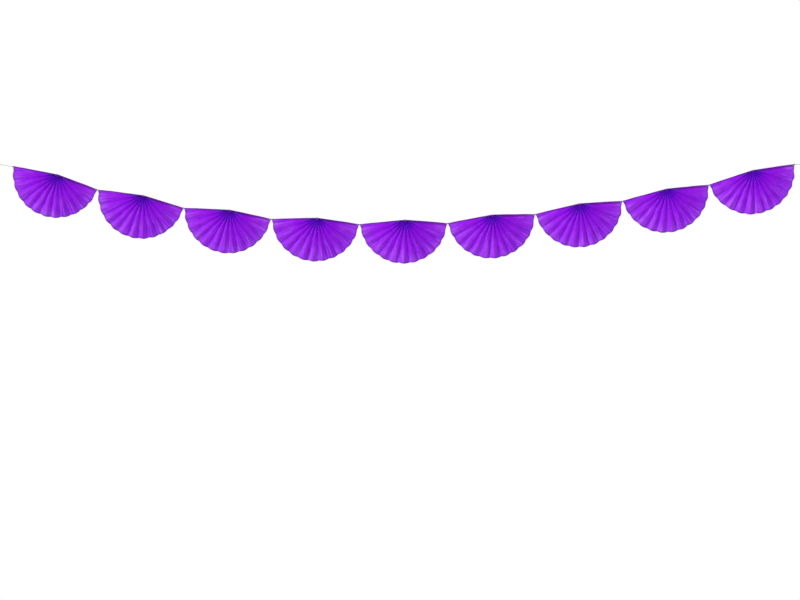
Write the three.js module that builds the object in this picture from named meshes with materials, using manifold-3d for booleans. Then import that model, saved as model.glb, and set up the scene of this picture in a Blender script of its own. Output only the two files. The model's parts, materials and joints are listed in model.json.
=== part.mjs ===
// Tissue paper garland: nine half-round pleated fans, tied corner to corner in a shallow curve.
// Millimetres, +Z up. The front of the garland faces -Y and its length runs along X.
// The origin is where a hook bears inside the left hanging loop.
import * as THREE from 'three'
import { mergeVertices } from 'three/addons/utils/BufferGeometryUtils.js'
import Module from 'manifold-3d'

const wasm = await Module()
wasm.setup()

// Slope of each fan's line through its two corner holes, in degrees, positive where it falls to the right
const FAN_SLOPES = [15.5, 12.0, 7.2, 3.4, -0.7, -5.9, -8.6, -10.6, -13.6]

// Fan: a strip of tissue in equal folds, gathered at one edge and opened out
const FAN_RADIUS = 165.3
const OPENING_DEG = 170.4
const PLEAT_COUNT = 12
const MOUNTAIN_SHARE = -0.1
const VALLEY_SHARE = 0.38
const RIM_DEPTH = 6
const RIM_SCALLOP = 2.8
const PAPER_STACK = 0.45
const GATHER_RADIUS = 2.5
const GATHER_TO_RIM_CENTRE_X = -6
const GATHER_TO_RIM_CENTRE_Z = 1.5
const PRESSED_STACK_SHARE = 0.14
const END_EDGE_SHARE = -0.17
const RADIAL_STATION_SHARES = [0, 0.06, 0.3, 0.54, 0.78, 1]

// Punched hole in each corner of a fan
const HOLE_RADIUS = 1.3
const HOLE_INSET = 5
const HOLE_DROP = 3
const HOLE_SIDES = 12
const CUT_OVERRUN = 2

// Thread round the gathered neck
const NECK_THREAD_RADIUS = 0.45
const NECK_LOOP_RADIUS = 6
const NECK_CORNER_RADIUS = 1.6
const NECK_CORNER_STEPS = 2
const NECK_SIDE_STEPS = 4

// Ties between the corners: a knot in the gap and a thread eye through each hole
const CORNER_GAP = 3.5
const THREAD_RADIUS = 0.45
const STRING_RADIUS = 0.8
const CLEARANCE = 0.3
const EYE_SEAT_GAP = 0.35
const KNOT_BULGE = 0.5
const THREAD_SIDES = 6
const EYE_TURN_STEPS = 6
const KNOT_SIDES = 10
const KNOT_ROWS = 4

// Hanging strings: points from the end knot outwards and up, chosen by hand
const LEFT_STRING_ROUTE = [
  [0, 0], [6, 1.1], [12, 2.1], [18, 3.1], [24, 4.0], [30, 5.0], [37, 6.2], [44, 7.3],
  [51, 8.5], [58, 9.8], [65, 11.0], [72, 12.3], [79, 13.6], [86, 15.0], [93, 16.4], [100, 17.8],
]
const RIGHT_STRING_ROUTE = [
  [0, 0], [6, 0.0], [12, 0.1], [18, 0.2], [24, 0.4], [30, 0.8], [37, 1.4], [44, 2.2],
  [51, 3.1], [58, 4.1], [65, 5.1], [72, 6.2], [79, 7.3], [86, 8.4], [93, 9.5], [100, 10.6],
]
const STRING_STEPS = 40
// An arc's points are spaced for half a turn each, so four make an eight-sided string
const STRING_CURVE_SEGMENTS = 4

// Hanging loops
const LOOP_LENGTH = 34
const LOOP_WIDTH = 15
const LOOP_STEPS = 26
// One side of the drop from the knot to the hook: shares of the length and of half the width
const LOOP_SIDE_SHARES = [[0, 0.18], [0.22, 0.38], [0.46, 0.74], [0.66, 0.96], [0.82, 0.94], [0.95, 0.56]]

const HALF_TURN_DEG = 180
const EDGE_DROP = THREE.MathUtils.degToRad((HALF_TURN_DEG - OPENING_DEG) / 2)
const OPENING = THREE.MathUtils.degToRad(OPENING_DEG)
const CREASE_COUNT = 2 * PLEAT_COUNT
const FACET_ANGLE = OPENING / CREASE_COUNT
const LEFT_EDGE_ANGLE = Math.PI + EDGE_DROP
const RIGHT_EDGE_ANGLE = LEFT_EDGE_ANGLE + OPENING

function paper(color) {
  return new THREE.MeshStandardMaterial({ color, roughness: 0.85, metalness: 0, flatShading: true })
}

const TISSUE = paper(0x8f29e0)
const THREAD = new THREE.MeshStandardMaterial({ color: 0x551390, roughness: 0.8, metalness: 0 })
const STRING = new THREE.MeshStandardMaterial({ color: 0xeceae4, roughness: 0.9, metalness: 0 })

function named(name, geometry, material) {
  const mesh = new THREE.Mesh(geometry, material)
  mesh.name = name
  return mesh
}

function geometryFrom(vertices, triangles) {
  const geometry = new THREE.BufferGeometry()
  geometry.setAttribute('position', new THREE.Float32BufferAttribute(vertices, 3))
  geometry.setIndex(triangles)
  return geometry
}

function solidFrom(geometry) {
  const bare = geometry.clone()
  bare.deleteAttribute('normal')
  bare.deleteAttribute('uv')
  const merged = mergeVertices(bare)
  return new wasm.Manifold(new wasm.Mesh({
    numProp: 3,
    vertProperties: new Float32Array(merged.attributes.position.array),
    triVerts: new Uint32Array(merged.index.array),
  }))
}

function geometryOf(solid) {
  const mesh = solid.getMesh()
  return geometryFrom(Array.from(mesh.vertProperties), Array.from(mesh.triVerts))
}

// Direction in the plane of the garland, the angle counted from +X towards +Z
function direction(angle) {
  return new THREE.Vector2(Math.cos(angle), Math.sin(angle))
}

// Length of a fold from the gather to the round rim, whose centre lies beside the gather
function foldLength(angle) {
  const along = direction(angle)
  const centre = new THREE.Vector2(GATHER_TO_RIM_CENTRE_X, GATHER_TO_RIM_CENTRE_Z)
  const towards = centre.dot(along)
  return towards + Math.sqrt(FAN_RADIUS ** 2 - centre.lengthSq() + towards ** 2)
}

const FOLD_WIDTH = Math.hypot(foldLength(LEFT_EDGE_ANGLE) * FACET_ANGLE, RIM_DEPTH)

// Crease number j counts from the left corner: even ones stand to the front, odd ones lie behind
function creaseAngle(j) {
  if (j === 0) return LEFT_EDGE_ANGLE
  if (j === CREASE_COUNT) return RIGHT_EDGE_ANGLE
  const share = j % 2 === 0 ? j / 2 + MOUNTAIN_SHARE : (j - 1) / 2 + VALLEY_SHARE
  return LEFT_EDGE_ANGLE + OPENING * share / PLEAT_COUNT
}

function creaseSide(j) {
  if (j === 0 || j === CREASE_COUNT) return END_EDGE_SHARE
  return j % 2 === 0 ? -1 : 1
}

// A fold keeps its width, so the pleats are deep at the gather and flatten towards the rim
function pleatDepth(radius) {
  return Math.sqrt(FOLD_WIDTH ** 2 - (radius * FACET_ANGLE) ** 2)
}

// Half of the stack's thickness from front to back, across a fold that stands at a slope
function halfStack(radius) {
  const depth = pleatDepth(radius)
  const slope = depth / (radius * FACET_ANGLE)
  return Math.min(PAPER_STACK / 2 * Math.hypot(1, slope), depth * PRESSED_STACK_SHARE)
}

// Points of one crease from the gather to the rim, on the front or the back of the paper
function creasePoints(j, facing) {
  const angle = creaseAngle(j)
  const along = direction(angle)
  const scallop = (j % 2 === 0 ? RIM_SCALLOP : -RIM_SCALLOP) / 2
  const reach = foldLength(angle) + scallop - GATHER_RADIUS
  return RADIAL_STATION_SHARES.map((share) => {
    const radius = GATHER_RADIUS + reach * share
    const half = halfStack(radius)
    const middle = creaseSide(j) * (pleatDepth(radius) / 2 - half)
    return new THREE.Vector3(along.x * radius, middle + facing * half, along.y * radius)
  })
}

function pleatedSheet() {
  const rows = RADIAL_STATION_SHARES.length
  const columns = CREASE_COUNT + 1
  const vertices = []
  const triangles = []
  for (const facing of [-1, 1]) {
    for (let j = 0; j < columns; j++) {
      for (const point of creasePoints(j, facing)) vertices.push(point.x, point.y, point.z)
    }
  }
  const front = (j, i) => j * rows + i
  const back = (j, i) => (columns + j) * rows + i
  const quad = (a, b, c, d) => triangles.push(a, b, c, a, c, d)
  for (let j = 0; j < CREASE_COUNT; j++) {
    for (let i = 0; i < rows - 1; i++) {
      quad(front(j, i), front(j, i + 1), front(j + 1, i + 1), front(j + 1, i))
      quad(back(j, i), back(j + 1, i), back(j + 1, i + 1), back(j, i + 1))
    }
    quad(front(j, 0), front(j + 1, 0), back(j + 1, 0), back(j, 0))
    quad(front(j + 1, rows - 1), front(j, rows - 1), back(j, rows - 1), back(j + 1, rows - 1))
  }
  for (let i = 0; i < rows - 1; i++) {
    quad(front(0, i + 1), front(0, i), back(0, i), back(0, i + 1))
    quad(front(CREASE_COUNT, i), front(CREASE_COUNT, i + 1), back(CREASE_COUNT, i + 1), back(CREASE_COUNT, i))
  }
  return geometryFrom(vertices, triangles)
}

// Centre of a corner hole: in from the rim along the top edge, and down from that edge
function holeCentre(angle, inwards) {
  const radius = foldLength(angle) + RIM_SCALLOP / 2 - HOLE_INSET
  const down = direction(angle + inwards * Math.PI / 2)
  return direction(angle).multiplyScalar(radius).addScaledVector(down, HOLE_DROP)
}

const LEFT_HOLE = holeCentre(LEFT_EDGE_ANGLE, 1)
const RIGHT_HOLE = holeCentre(RIGHT_EDGE_ANGLE, -1)
const HOLE_LINE = RIGHT_HOLE.clone().sub(LEFT_HOLE)
const HOLE_SPAN = HOLE_LINE.length()
const TIE_SPAN = CORNER_GAP + 2 * HOLE_INSET

function cornerPunch(hole) {
  const length = 2 * (FOLD_WIDTH + CUT_OVERRUN)
  const punch = new THREE.CylinderGeometry(HOLE_RADIUS, HOLE_RADIUS, length, HOLE_SIDES)
  punch.translate(hole.x, 0, hole.y)
  return solidFrom(punch)
}

// Puts a shape made round the gather into the fan's own frame: its left hole at the origin,
// its right hole level with it along +X
function inFanFrame(geometry) {
  geometry.translate(-LEFT_HOLE.x, 0, -LEFT_HOLE.y)
  geometry.rotateY(HOLE_LINE.angle())
  return geometry
}

function fanGeometry() {
  let solid = solidFrom(pleatedSheet())
  for (const hole of [LEFT_HOLE, RIGHT_HOLE]) solid = solid.subtract(cornerPunch(hole))
  return inFanFrame(geometryOf(solid))
}

// A thread as rings round a list of points. Each across vector is square to the thread there.
function threadGeometry(points, acrosses, radius, closed) {
  const vertices = []
  const triangles = []
  const count = points.length
  points.forEach((point, k) => {
    const next = points[closed ? (k + 1) % count : Math.min(k + 1, count - 1)]
    const last = points[closed ? (k + count - 1) % count : Math.max(k - 1, 0)]
    const tangent = next.clone().sub(last).normalize()
    const across = acrosses[k].clone().addScaledVector(tangent, -acrosses[k].dot(tangent)).normalize()
    const third = tangent.clone().cross(across)
    for (let s = 0; s < THREAD_SIDES; s++) {
      const turn = 2 * Math.PI * s / THREAD_SIDES
      const ring = point.clone()
      ring.addScaledVector(across, radius * Math.cos(turn))
      ring.addScaledVector(third, radius * Math.sin(turn))
      vertices.push(ring.x, ring.y, ring.z)
    }
  })
  for (let k = 0; k < (closed ? count : count - 1); k++) {
    for (let s = 0; s < THREAD_SIDES; s++) {
      const here = k * THREAD_SIDES
      const there = (k + 1) % count * THREAD_SIDES
      const t = (s + 1) % THREAD_SIDES
      triangles.push(here + s, here + t, there + t, here + s, there + t, there + s)
    }
  }
  if (!closed) {
    const end = (count - 1) * THREAD_SIDES
    for (let s = 1; s < THREAD_SIDES - 1; s++) triangles.push(0, s + 1, s, end, end + s, end + s + 1)
  }
  return geometryFrom(vertices, triangles)
}

// Rounded rectangle, flat, as a closed list of points with steps on its long sides
function roundedRectangle(halfWidth, halfHeight) {
  const points = []
  const corners = [[1, 1], [-1, 1], [-1, -1], [1, -1]]
  corners.forEach(([signX, signY], k) => {
    const centre = new THREE.Vector2(halfWidth - NECK_CORNER_RADIUS, halfHeight - NECK_CORNER_RADIUS)
    centre.multiply(new THREE.Vector2(signX, signY))
    for (let step = 0; step <= NECK_CORNER_STEPS; step++) {
      const turn = (k + step / NECK_CORNER_STEPS) * Math.PI / 2
      points.push(centre.clone().addScaledVector(direction(turn), NECK_CORNER_RADIUS))
    }
    const sideStart = points.at(-1)
    const isTopOrBottom = k % 2 === 0
    const sideEnd = sideStart.clone().multiply(isTopOrBottom ? new THREE.Vector2(-1, 1) : new THREE.Vector2(1, -1))
    for (let step = 1; step < NECK_SIDE_STEPS; step++) {
      points.push(sideStart.clone().lerp(sideEnd, step / NECK_SIDE_STEPS))
    }
  })
  return points
}

// The neck thread lies on a cylinder round the gather: along the front, over one top edge,
// along the back and over the other edge
function neckThread() {
  const offset = CLEARANCE + NECK_THREAD_RADIUS
  const halfDepth = pleatDepth(GATHER_RADIUS) / 2 + offset
  const halfArc = NECK_LOOP_RADIUS * OPENING / 2 + offset
  const middle = (LEFT_EDGE_ANGLE + RIGHT_EDGE_ANGLE) / 2
  const points = []
  const acrosses = []
  for (const flat of roundedRectangle(halfArc, halfDepth)) {
    const out = direction(middle + flat.x / NECK_LOOP_RADIUS)
    acrosses.push(new THREE.Vector3(out.x, 0, out.y))
    points.push(new THREE.Vector3(out.x * NECK_LOOP_RADIUS, flat.y, out.y * NECK_LOOP_RADIUS))
  }
  return inFanFrame(threadGeometry(points, acrosses, NECK_THREAD_RADIUS, true))
}

// Half the distance between an eye's two legs, which pass in front of the paper and behind it
function legOffset(radius) {
  return PAPER_STACK / 2 + CLEARANCE + radius
}

function knotHalfLength() {
  return CORNER_GAP / 2 - CLEARANCE
}

// Thread eye for a left corner: from the knot's face along the paper, through the hole and back.
// A right corner takes its mirror image.
function eyeGeometry(radius, side) {
  const tie = TIE_SPAN / 2
  const leg = legOffset(radius)
  const start = knotHalfLength() + CLEARANCE - tie
  const tip = EYE_SEAT_GAP + radius - HOLE_RADIUS
  const points = [new THREE.Vector3(start, -leg, 0)]
  for (let k = 0; k <= EYE_TURN_STEPS; k++) {
    const angle = Math.PI * (k / EYE_TURN_STEPS - 1 / 2)
    points.push(new THREE.Vector3(tip - leg + leg * Math.cos(angle), leg * Math.sin(angle), 0))
  }
  points.push(new THREE.Vector3(start, leg, 0))
  if (side === 'right') {
    for (const point of points) point.x = HOLE_SPAN - point.x
  }
  const acrosses = points.map(() => new THREE.Vector3(0, 0, 1))
  return threadGeometry(points, acrosses, radius, false)
}

// Knot as a barrel along X with flat ends, wide enough for the eye's legs to seat on
function knotGeometry(radius) {
  const half = knotHalfLength()
  const flat = legOffset(radius) + radius + CLEARANCE
  const profile = [new THREE.Vector2(0, -half)]
  for (let k = 0; k <= KNOT_ROWS; k++) {
    const along = 2 * k / KNOT_ROWS - 1
    profile.push(new THREE.Vector2(flat + KNOT_BULGE * (1 - along ** 2), half * along))
  }
  profile.push(new THREE.Vector2(0, half))
  return new THREE.LatheGeometry(profile, KNOT_SIDES).rotateZ(-Math.PI / 2)
}

function fan(number, slope) {
  const group = new THREE.Group()
  const leftRadius = number === 1 ? STRING_RADIUS : THREAD_RADIUS
  const rightRadius = number === FAN_SLOPES.length ? STRING_RADIUS : THREAD_RADIUS
  const leftMaterial = number === 1 ? STRING : THREAD
  const rightMaterial = number === FAN_SLOPES.length ? STRING : THREAD
  group.add(named(`fan_${number}`, fanGeometry(), TISSUE))
  group.add(named(`gather_thread_${number}`, neckThread(), THREAD))
  group.add(named(`left_eye_${number}`, eyeGeometry(leftRadius, 'left'), leftMaterial))
  group.add(named(`right_eye_${number}`, eyeGeometry(rightRadius, 'right'), rightMaterial))
  group.rotation.y = slope
  return group
}

function cornerKnot(name, radius, material, slope) {
  const knot = named(name, knotGeometry(radius), material)
  knot.rotation.y = slope
  return knot
}

// Step of a given length along a slope, positive where it falls to the right
function stepAlong(slope, length) {
  return new THREE.Vector3(length * Math.cos(slope), 0, -length * Math.sin(slope))
}

// Hanging string: a free length from the end knot, then a knot and the loop for the hook.
// Its group's origin is the end knot's centre, and toSide is -1 on the left and 1 on the right.
function hangingString(side, route, toSide) {
  const group = new THREE.Group()
  const startAt = knotHalfLength() + CLEARANCE
  const points = route.map(([out, up]) => new THREE.Vector3(toSide * (startAt + out), 0, up))
  const curve = new THREE.CatmullRomCurve3(points)
  const section = new THREE.Shape().absarc(0, 0, STRING_RADIUS, 0, 2 * Math.PI)
  const options = { steps: STRING_STEPS, curveSegments: STRING_CURVE_SEGMENTS, extrudePath: curve }
  group.add(named(`${side}_string`, new THREE.ExtrudeGeometry(section, options), STRING))

  const outwards = curve.getTangent(1)
  const end = new THREE.Group()
  end.position.copy(points.at(-1)).addScaledVector(outwards, CLEARANCE + knotHalfLength())
  end.rotation.y = Math.atan2(-outwards.z, outwards.x)
  end.add(named(`${side}_loop_knot`, knotGeometry(STRING_RADIUS), STRING))
  end.add(named(`${side}_loop`, loopGeometry(section), STRING))
  group.add(end)
  group.userData.hook = new THREE.Vector3(startAt + LOOP_LENGTH - 2 * STRING_RADIUS, 0, 0)
    .applyAxisAngle(new THREE.Vector3(0, 1, 0), end.rotation.y)
    .add(end.position)
  return group
}

// Drop-shaped loop along +X, with both ends seated on the knot's flat face
function loopGeometry(section) {
  const startAt = knotHalfLength() + CLEARANCE
  const reach = LOOP_LENGTH - STRING_RADIUS
  const halfWidth = LOOP_WIDTH / 2 - STRING_RADIUS
  const upper = LOOP_SIDE_SHARES.map(([along, out]) => (
    new THREE.Vector3(startAt + along * reach, 0, out * halfWidth)))
  const tip = new THREE.Vector3(startAt + reach, 0, 0)
  const lower = upper.map((point) => new THREE.Vector3(point.x, 0, -point.z)).reverse()
  const path = new THREE.CatmullRomCurve3([...upper, tip, ...lower])
  return new THREE.ExtrudeGeometry(section, { steps: LOOP_STEPS, curveSegments: STRING_CURVE_SEGMENTS, extrudePath: path })
}

// Places the fans one after another: hole, tie, hole, each tie at the mean slope of its two fans
function garland() {
  const slopes = FAN_SLOPES.map((slope) => THREE.MathUtils.degToRad(slope))
  const line = new THREE.Group()
  const at = new THREE.Vector3()

  const leftString = hangingString('left', LEFT_STRING_ROUTE, -1)
  line.add(leftString)
  line.add(cornerKnot('left_end_knot', STRING_RADIUS, STRING, slopes[0]))
  at.add(stepAlong(slopes[0], TIE_SPAN / 2))

  slopes.forEach((slope, k) => {
    const piece = fan(k + 1, slope)
    piece.position.copy(at)
    line.add(piece)
    at.add(stepAlong(slope, HOLE_SPAN))
    const nextSlope = slopes[k + 1] ?? slope
    const tieSlope = (slope + nextSlope) / 2
    at.add(stepAlong(tieSlope, TIE_SPAN / 2))
    const isLast = k === slopes.length - 1
    const knot = isLast
      ? cornerKnot('right_end_knot', STRING_RADIUS, STRING, tieSlope)
      : cornerKnot(`corner_knot_${k + 1}`, THREAD_RADIUS, THREAD, tieSlope)
    knot.position.copy(at)
    line.add(knot)
    if (!isLast) at.add(stepAlong(tieSlope, TIE_SPAN / 2))
  })

  const rightString = hangingString('right', RIGHT_STRING_ROUTE, 1)
  rightString.position.copy(at)
  line.add(rightString)

  line.position.copy(leftString.userData.hook).negate()
  const whole = new THREE.Group()
  whole.add(line)
  return whole
}

export default garland()
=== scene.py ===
# %% [markdown]
# # A tissue paper garland
# Nine half-round fans of violet tissue hang corner to corner in a shallow curve. Each fan is a
# strip of tissue in 24 equal folds, gathered at the middle of its top edge and opened to about
# 170 degrees. Thread eyes go through a punched hole in each corner, a small knot joins every two
# of them, and a thin cotton string with a loop holds each end.
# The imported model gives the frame: metres, the garland's length along +X, its front facing -Y,
# and the origin in the left loop. Everything below is placed from that frame's joints.

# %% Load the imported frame
import json
import math

import bpy
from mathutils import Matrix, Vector, noise


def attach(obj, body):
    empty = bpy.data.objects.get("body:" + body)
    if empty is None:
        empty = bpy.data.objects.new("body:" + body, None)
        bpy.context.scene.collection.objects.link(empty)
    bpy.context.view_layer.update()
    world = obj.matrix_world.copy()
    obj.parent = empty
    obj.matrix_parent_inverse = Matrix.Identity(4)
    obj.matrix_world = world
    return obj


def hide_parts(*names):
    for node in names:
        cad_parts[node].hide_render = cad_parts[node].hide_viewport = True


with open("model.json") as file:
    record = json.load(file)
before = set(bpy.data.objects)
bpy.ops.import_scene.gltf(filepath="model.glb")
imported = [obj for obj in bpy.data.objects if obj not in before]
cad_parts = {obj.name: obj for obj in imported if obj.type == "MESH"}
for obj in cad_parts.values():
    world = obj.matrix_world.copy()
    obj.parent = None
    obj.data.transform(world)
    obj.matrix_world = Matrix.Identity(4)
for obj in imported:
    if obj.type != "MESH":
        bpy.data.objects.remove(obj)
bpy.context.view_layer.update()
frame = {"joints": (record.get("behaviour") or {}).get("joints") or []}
bpy.ops.object.select_all(action="DESELECT")

# %% [markdown]
# ## The camera
# The photograph is a flat product view: all nine fans face the camera and no fan shows its side.
# A long lens from far away gives that, with hardly any perspective. It could be orthographic,
# but a real lens at 12 m keeps the small perspective that a product photograph has.

# %% The camera, level, in front of the garland
VIEW_CENTRE = Vector((1.6082, 0.0, -0.5317))
CAMERA_DISTANCE = 12.0
VIEW_WIDTH = 3.04

bpy.ops.object.camera_add(
    location=VIEW_CENTRE - Vector((0, CAMERA_DISTANCE, 0)),
    rotation=(math.pi / 2, 0, 0),
)
camera = bpy.context.object
camera.data.lens = camera.data.sensor_width * CAMERA_DISTANCE / VIEW_WIDTH
bpy.context.scene.camera = camera
print("lens", round(camera.data.lens, 1), "mm")

# %% [markdown]
# ## A twisted thread
# String and sewing thread are two or three strands laid round each other. The twist could be
# painted on one round tube with a bump, but the end of the string is seen from close by, so each
# strand is a real tube. A strand follows a path and circles round it, so a path needs a direction
# across it at every point. Those directions are carried along from point to point, which keeps
# them from spinning, and the twist is then added on top.

# %% Points at equal steps on a smooth curve through a list of points
PARTS_PER_SPAN = 16


def smooth_path(points, step):
    """A smooth curve through all the points, cut into steps of one length."""
    points = [Vector(point) for point in points]
    padded = [2 * points[0] - points[1]] + points + [2 * points[-1] - points[-2]]
    fine = []
    for k in range(len(points) - 1):
        before, start, end, after = padded[k:k + 4]
        for part in range(PARTS_PER_SPAN):
            t = part / PARTS_PER_SPAN
            fine.append(0.5 * (
                2 * start
                + (end - before) * t
                + (2 * before - 5 * start + 4 * end - after) * t ** 2
                + (3 * start - before - 3 * end + after) * t ** 3
            ))
    fine.append(points[-1])
    lengths = [0.0]
    for start, end in zip(fine, fine[1:]):
        lengths.append(lengths[-1] + (end - start).length)
    count = max(2, round(lengths[-1] / step))
    path = []
    at = 0
    for k in range(count + 1):
        wanted = lengths[-1] * k / count
        while at < len(fine) - 2 and lengths[at + 1] < wanted:
            at += 1
        share = (wanted - lengths[at]) / max(lengths[at + 1] - lengths[at], 1e-9)
        path.append(fine[at].lerp(fine[at + 1], share))
    return path


# %% Directions across a path, carried along it without spinning
def directions_across(path, first):
    """Two unit vectors square to the path at each of its points, the first near the given."""
    across = Vector(first)
    found = []
    for k in range(len(path)):
        tangent = path[min(k + 1, len(path) - 1)] - path[max(k - 1, 0)]
        tangent.normalize()
        across = (across - tangent * across.dot(tangent)).normalized()
        found.append((across.copy(), tangent.cross(across)))
    return found


# %% A thread laid from strands, as one mesh
STRAND_SHARE = {2: 0.5, 3: 0.48}


def twisted_thread(name, path, radius, strands, turn_length, across=(0, 0, 1)):
    """A thread of the given outer radius along the path. turn_length is one full twist."""
    curve = bpy.data.curves.new(name, "CURVE")
    curve.dimensions = "3D"
    strand_radius = radius * STRAND_SHARE[strands]
    curve.bevel_depth = strand_radius
    curve.bevel_resolution = 1
    curve.use_fill_caps = True
    frames = directions_across(path, across)
    lengths = [0.0]
    for start, end in zip(path, path[1:]):
        lengths.append(lengths[-1] + (end - start).length)
    for strand in range(strands):
        spline = curve.splines.new("POLY")
        spline.points.add(len(path) - 1)
        for k, point in enumerate(path):
            turn = 2 * math.pi * (lengths[k] / turn_length + strand / strands)
            side, other = frames[k]
            offset = (math.cos(turn) * side + math.sin(turn) * other) * (radius - strand_radius)
            spline.points[k].co = (*(point + offset), 1)
    thread = bpy.data.objects.new(name, curve)
    bpy.context.collection.objects.link(thread)
    bpy.ops.object.select_all(action="DESELECT")
    bpy.context.view_layer.objects.active = thread
    thread.select_set(True)
    bpy.ops.object.convert(target="MESH")
    thread = bpy.context.object
    bpy.ops.object.shade_smooth()
    thread.select_set(False)
    return thread


# %% [markdown]
# ## Where the fans hang
# Each fan swings about the line through its two corner holes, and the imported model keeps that
# line as a joint. The joints could be typed in again here, but reading them leaves nothing to fit:
# every fan, thread and knot is placed from them.

# %% Places of the nine fans, from their swing joints
swings = sorted(
    (joint for joint in frame["joints"] if joint["name"].startswith("fan_")),
    key=lambda joint: int(joint["name"].split("_")[1]),
)


def along_line(joint):
    """The direction from a fan's left corner hole to its right one."""
    axis = Vector(joint["axis"])
    return axis if axis.x > 0 else -axis


print("fans", len(swings), "first hole", [round(x, 4) for x in swings[0]["pos_m"]])

# %% [markdown]
# ## The two strings, which are free cords
# A cotton string leaves each end knot and runs up out of the picture, held taut by a hook
# that the picture doesn't show. The line sags a little between the knot and the loop. Its route
# is a list of points, outwards and up from the end knot, the same that the solid string has.

# %% Sizes that thread, string and knots share, in metres
STRING_RADIUS = 0.0008
THREAD_RADIUS = 0.00045
KNOT_HALF_LENGTH = 0.00145
HALF_TIE = 0.00675  # from a corner hole to the middle of its knot
CLEARANCE = 0.0003
STRING_START = KNOT_HALF_LENGTH + CLEARANCE
print("string", 2000 * STRING_RADIUS, "mm, thread", 2000 * THREAD_RADIUS, "mm")

# %% The strings' routes from the end knots, as (outwards, up) in metres
LEFT_STRING_ROUTE = [
    (0, 0), (0.006, 0.0011), (0.012, 0.0021), (0.018, 0.0031), (0.024, 0.004), (0.030, 0.005),
    (0.037, 0.0062), (0.044, 0.0073), (0.051, 0.0085), (0.058, 0.0098), (0.065, 0.011),
    (0.072, 0.0123), (0.079, 0.0136), (0.086, 0.015), (0.093, 0.0164), (0.100, 0.0178),
]
RIGHT_STRING_ROUTE = [
    (0, 0), (0.006, 0), (0.012, 0.0001), (0.018, 0.0002), (0.024, 0.0004), (0.030, 0.0008),
    (0.037, 0.0014), (0.044, 0.0022), (0.051, 0.0031), (0.058, 0.0041), (0.065, 0.0051),
    (0.072, 0.0062), (0.079, 0.0073), (0.086, 0.0084), (0.093, 0.0095), (0.100, 0.0106),
]
print("routes of", len(LEFT_STRING_ROUTE), "and", len(RIGHT_STRING_ROUTE), "points")

# %% [markdown]
# ## The fan's folds
# A fan is a strip of tissue in equal folds. Seen from the gather, each fold is a flat facet whose
# width never changes: near the gather the facets stand almost on edge, 22 mm deep, and at the rim
# they lie almost flat. So the depth follows from the fold's width and the radius. That sum is all
# the shape needs, and it is the same one the solid model is made with.

# %% Sizes of the fan, in metres and radians
PLEATS = 12
FOLDS = 2 * PLEATS
OPENING = math.radians(170.4)
LEFT_EDGE = math.pi + (math.pi - OPENING) / 2
RIGHT_EDGE = LEFT_EDGE + OPENING
FOLD_ANGLE = OPENING / FOLDS
FAN_RADIUS = 0.1653
RIM_CENTRE = Vector((-0.006, 0.0015))
RIM_DEPTH = 0.006
RIM_SCALLOP = 0.0028
GATHER_RADIUS = 0.0025


def direction(angle):
    return Vector((math.cos(angle), math.sin(angle)))


def fold_length(angle):
    """From the gather to the round rim, whose centre is a little to the left."""
    out = direction(angle)
    toward = RIM_CENTRE.dot(out)
    return toward + math.sqrt(FAN_RADIUS ** 2 - RIM_CENTRE.length_squared + toward ** 2)


FOLD_WIDTH = math.hypot(fold_length(LEFT_EDGE) * FOLD_ANGLE, RIM_DEPTH)


def fold_depth(radius):
    """How far the folds stand from front to back at a distance from the gather."""
    return math.sqrt(FOLD_WIDTH ** 2 - (radius * FOLD_ANGLE) ** 2)


STRIP_LENGTH = FOLDS * FOLD_WIDTH
STRIP_WIDTH = fold_length(1.5 * math.pi) - GATHER_RADIUS
print("fold", round(FOLD_WIDTH, 4), "strip", round(STRIP_LENGTH, 3), "x", round(STRIP_WIDTH, 3))

# %% The corner holes, and the fan's own frame: left hole at its origin, right hole along X
HOLE_RADIUS = 0.0013
HOLE_INSET = 0.005
HOLE_DROP = 0.003


def hole_centre(angle, inwards):
    radius = fold_length(angle) + RIM_SCALLOP / 2 - HOLE_INSET
    return direction(angle) * radius + direction(angle + inwards * math.pi / 2) * HOLE_DROP


LEFT_HOLE = hole_centre(LEFT_EDGE, 1)
RIGHT_HOLE = hole_centre(RIGHT_EDGE, -1)
HOLE_LINE = RIGHT_HOLE - LEFT_HOLE
HOLE_SPAN = HOLE_LINE.length
LINE_RIGHT = HOLE_LINE.normalized()
LINE_UP = Vector((-LINE_RIGHT.y, LINE_RIGHT.x))


def in_fan_frame(point):
    """A point made round the gather (right, back, up), seen from the left hole."""
    flat = Vector((point.x, point.z)) - LEFT_HOLE
    return Vector((flat.dot(LINE_RIGHT), point.y, flat.dot(LINE_UP)))


def corner_distance(point):
    """How far a point in the fan's frame is from the nearer corner hole."""
    return min(point.length, (point - Vector((HOLE_SPAN, 0, 0))).length)


def in_garland(joint, point):
    """A point of the fan's own frame, in the garland's."""
    right = along_line(joint)
    up = right.cross(Vector((0, 1, 0)))
    return Vector(joint["pos_m"]) + right * point.x + Vector((0, point.y, 0)) + up * point.z


print("holes apart", round(HOLE_SPAN, 4))

# %% [markdown]
# ## Where a point of the strip goes
# Even creases are mountains at the front, odd ones are valleys at the back. The photograph shows
# round mountains and sharp valleys, so a fold doesn't run straight from one to the other: it
# leaves the mountain level and drops into the valley. The two plies lie on each other at the
# gather and at the rim and part in between, where the front one bellies out and shades the folds
# less. On the right half of every fan, towards the rim, each fold that faces the light takes a
# second, smaller ripple and its mountain is less round. The whole fan is a little domed, and the
# creases wander a little.

# %% Helpers: a soft step, and where a place along the strip is
RIGHT_HALF = (6.0, 8.0)  # pleats, over which the look of the right half sets in


def smooth_step(low, high, value):
    share = min(1.0, max(0.0, (value - low) / (high - low)))
    return share * share * (3 - 2 * share)


def from_end(along):
    """How many folds a place is from the nearer end of the strip."""
    return min(along, FOLDS - along)


def on_right_half(along):
    """0 on the left half of the fan, 1 on the right half."""
    return smooth_step(*RIGHT_HALF, along / 2)


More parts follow.
